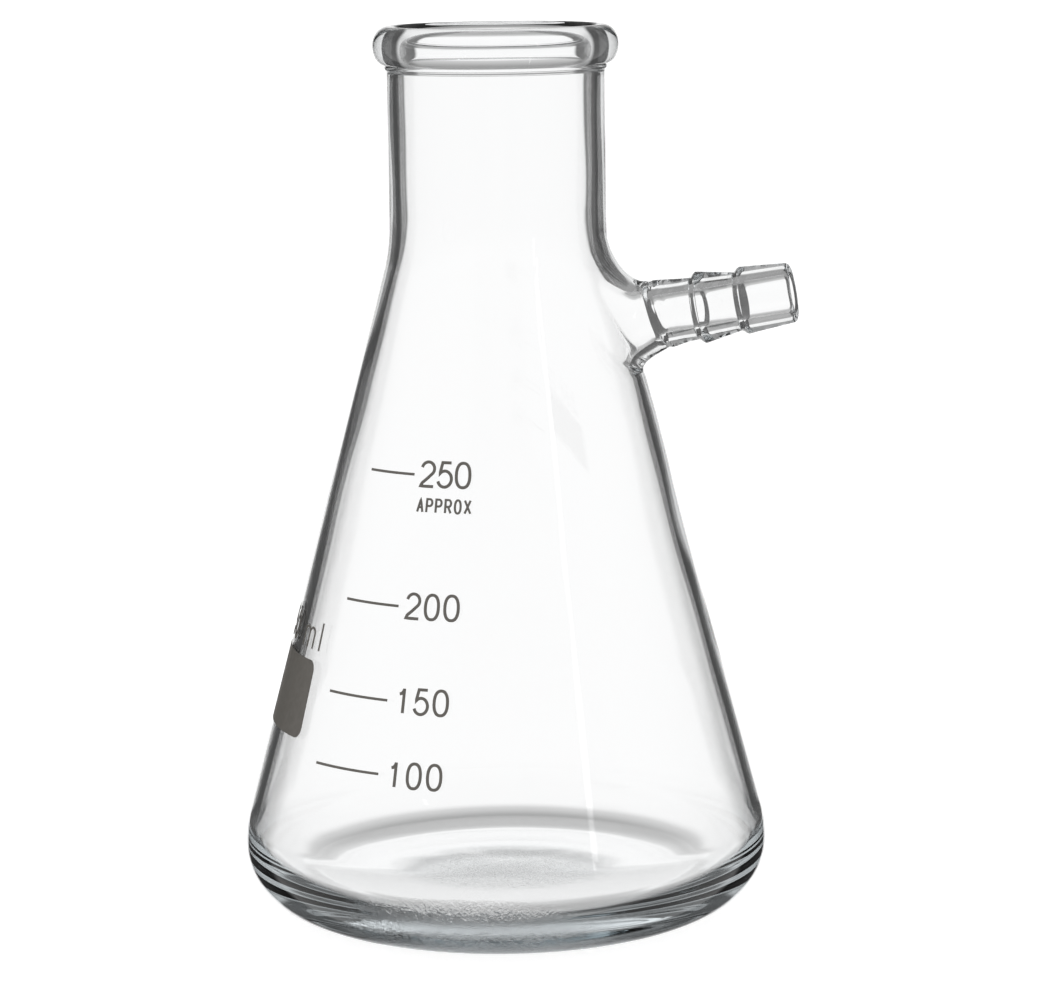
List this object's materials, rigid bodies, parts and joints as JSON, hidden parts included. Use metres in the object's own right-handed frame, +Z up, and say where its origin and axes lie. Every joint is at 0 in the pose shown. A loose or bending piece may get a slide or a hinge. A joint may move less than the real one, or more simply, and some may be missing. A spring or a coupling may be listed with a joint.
{
  "type": "filter flask",
  "caption": "Conical glass filter flask with a thick base, a beaded rim and a rising barbed side arm for a vacuum hose, with grey enamel graduations and a marking spot.",
  "frame": {"origin": "centre of the flat underside of the flask, on the flask's axis", "axes": "+Z up along the flask's axis, +X towards the side arm, +Y completes the right-handed frame"},
  "size_m": [0.0948, 0.0888, 0.15],
  "materials": {
    "clear_glass": "clear polished borosilicate glass",
    "grey_enamel": "fired grey enamel, semi-matt"
  },
  "bodies": {
    "root": {"flask_body": "clear_glass", "side_arm": "clear_glass", "approx_letter_1": "grey_enamel", "approx_letter_2": "grey_enamel", "approx_letter_3": "grey_enamel", "approx_letter_4": "grey_enamel", "approx_letter_5": "grey_enamel", "approx_letter_6": "grey_enamel", "capacity_digit_1": "grey_enamel", "capacity_digit_2": "grey_enamel", "capacity_digit_3": "grey_enamel", "capacity_letter_l": "grey_enamel", "capacity_letter_m": "grey_enamel", "graduation_line_100": "grey_enamel", "graduation_line_150": "grey_enamel", "graduation_line_200": "grey_enamel", "graduation_line_250": "grey_enamel", "marking_spot": "grey_enamel", "numeral_100_digit_1": "grey_enamel", "numeral_100_digit_2": "grey_enamel", "numeral_100_digit_3": "grey_enamel", "numeral_150_digit_1": "grey_enamel", "numeral_150_digit_2": "grey_enamel", "numeral_150_digit_3": "grey_enamel", "numeral_200_digit_1": "grey_enamel", "numeral_200_digit_2": "grey_enamel", "numeral_200_digit_3": "grey_enamel", "numeral_250_digit_1": "grey_enamel", "numeral_250_digit_2": "grey_enamel", "numeral_250_digit_3": "grey_enamel"}
  },
  "joints": []
}
